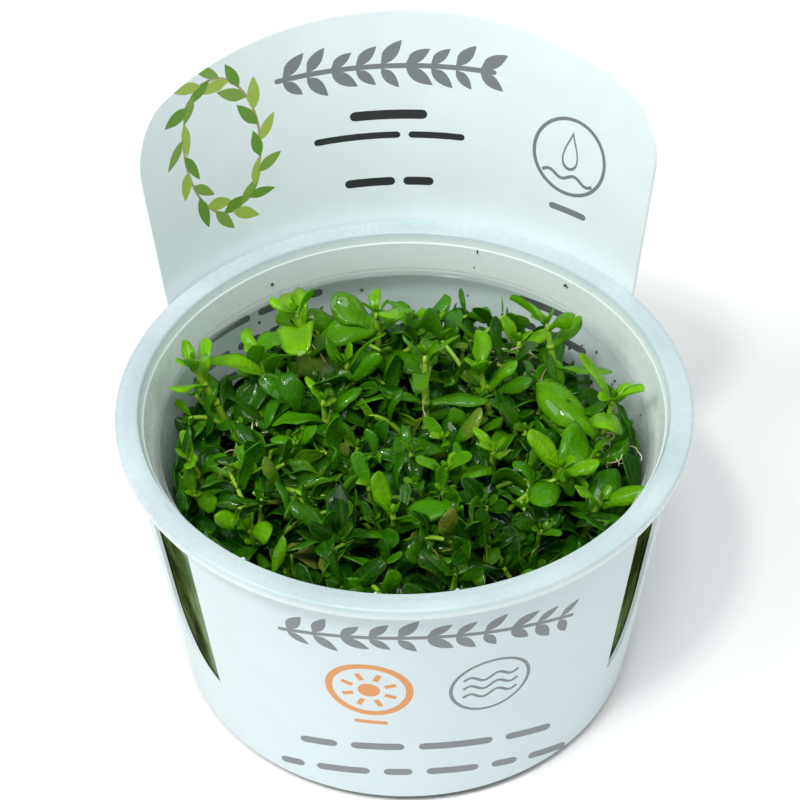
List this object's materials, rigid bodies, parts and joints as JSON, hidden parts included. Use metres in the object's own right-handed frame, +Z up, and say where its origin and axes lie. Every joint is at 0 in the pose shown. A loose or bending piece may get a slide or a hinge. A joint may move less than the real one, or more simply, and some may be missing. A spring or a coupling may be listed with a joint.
{
  "type": "rotala plantlets in a culture cup",
  "caption": "Leafy green rotala sprigs growing in a low milky clear cup with a wide flange, wrapped in a white card sleeve that rises behind it as an arched header.",
  "frame": {"origin": "centre of the flat underside of the cup's base, on the cup's axis", "axes": "+Z up along the cup's axis; -Y towards the front panel of the sleeve, +Y towards the header; +X to the right seen from the front"},
  "size_m": [0.08, 0.0863, 0.081],
  "materials": {
    "clear_plastic": "milky translucent, satin",
    "card": "coated white card with a grey, black and orange print",
    "roots": "wet, dark, tangled",
    "leaf": "fleshy green leaves and pale green stems, glossy"
  },
  "bodies": {
    "root": {"cup": "clear_plastic", "root_mat": "roots", "sleeve": "card", "sprig_01": "leaf", "sprig_02": "leaf", "sprig_03": "leaf", "sprig_04": "leaf", "sprig_05": "leaf", "sprig_06": "leaf", "sprig_07": "leaf", "sprig_08": "leaf", "sprig_09": "leaf", "sprig_10": "leaf", "sprig_11": "leaf", "sprig_12": "leaf", "sprig_13": "leaf", "sprig_14": "leaf", "sprig_15": "leaf", "sprig_16": "leaf", "sprig_17": "leaf", "sprig_18": "leaf", "sprig_19": "leaf", "sprig_20": "leaf", "sprig_21": "leaf", "sprig_22": "leaf", "sprig_23": "leaf", "sprig_24": "leaf", "sprig_25": "leaf", "sprig_26": "leaf", "sprig_27": "leaf", "sprig_28": "leaf", "sprig_29": "leaf", "sprig_30": "leaf", "sprig_31": "leaf", "sprig_32": "leaf", "sprig_33": "leaf", "sprig_34": "leaf", "sprig_35": "leaf", "sprig_36": "leaf", "sprig_37": "leaf", "sprig_38": "leaf", "sprig_39": "leaf", "sprig_40": "leaf"}
  },
  "joints": []
}
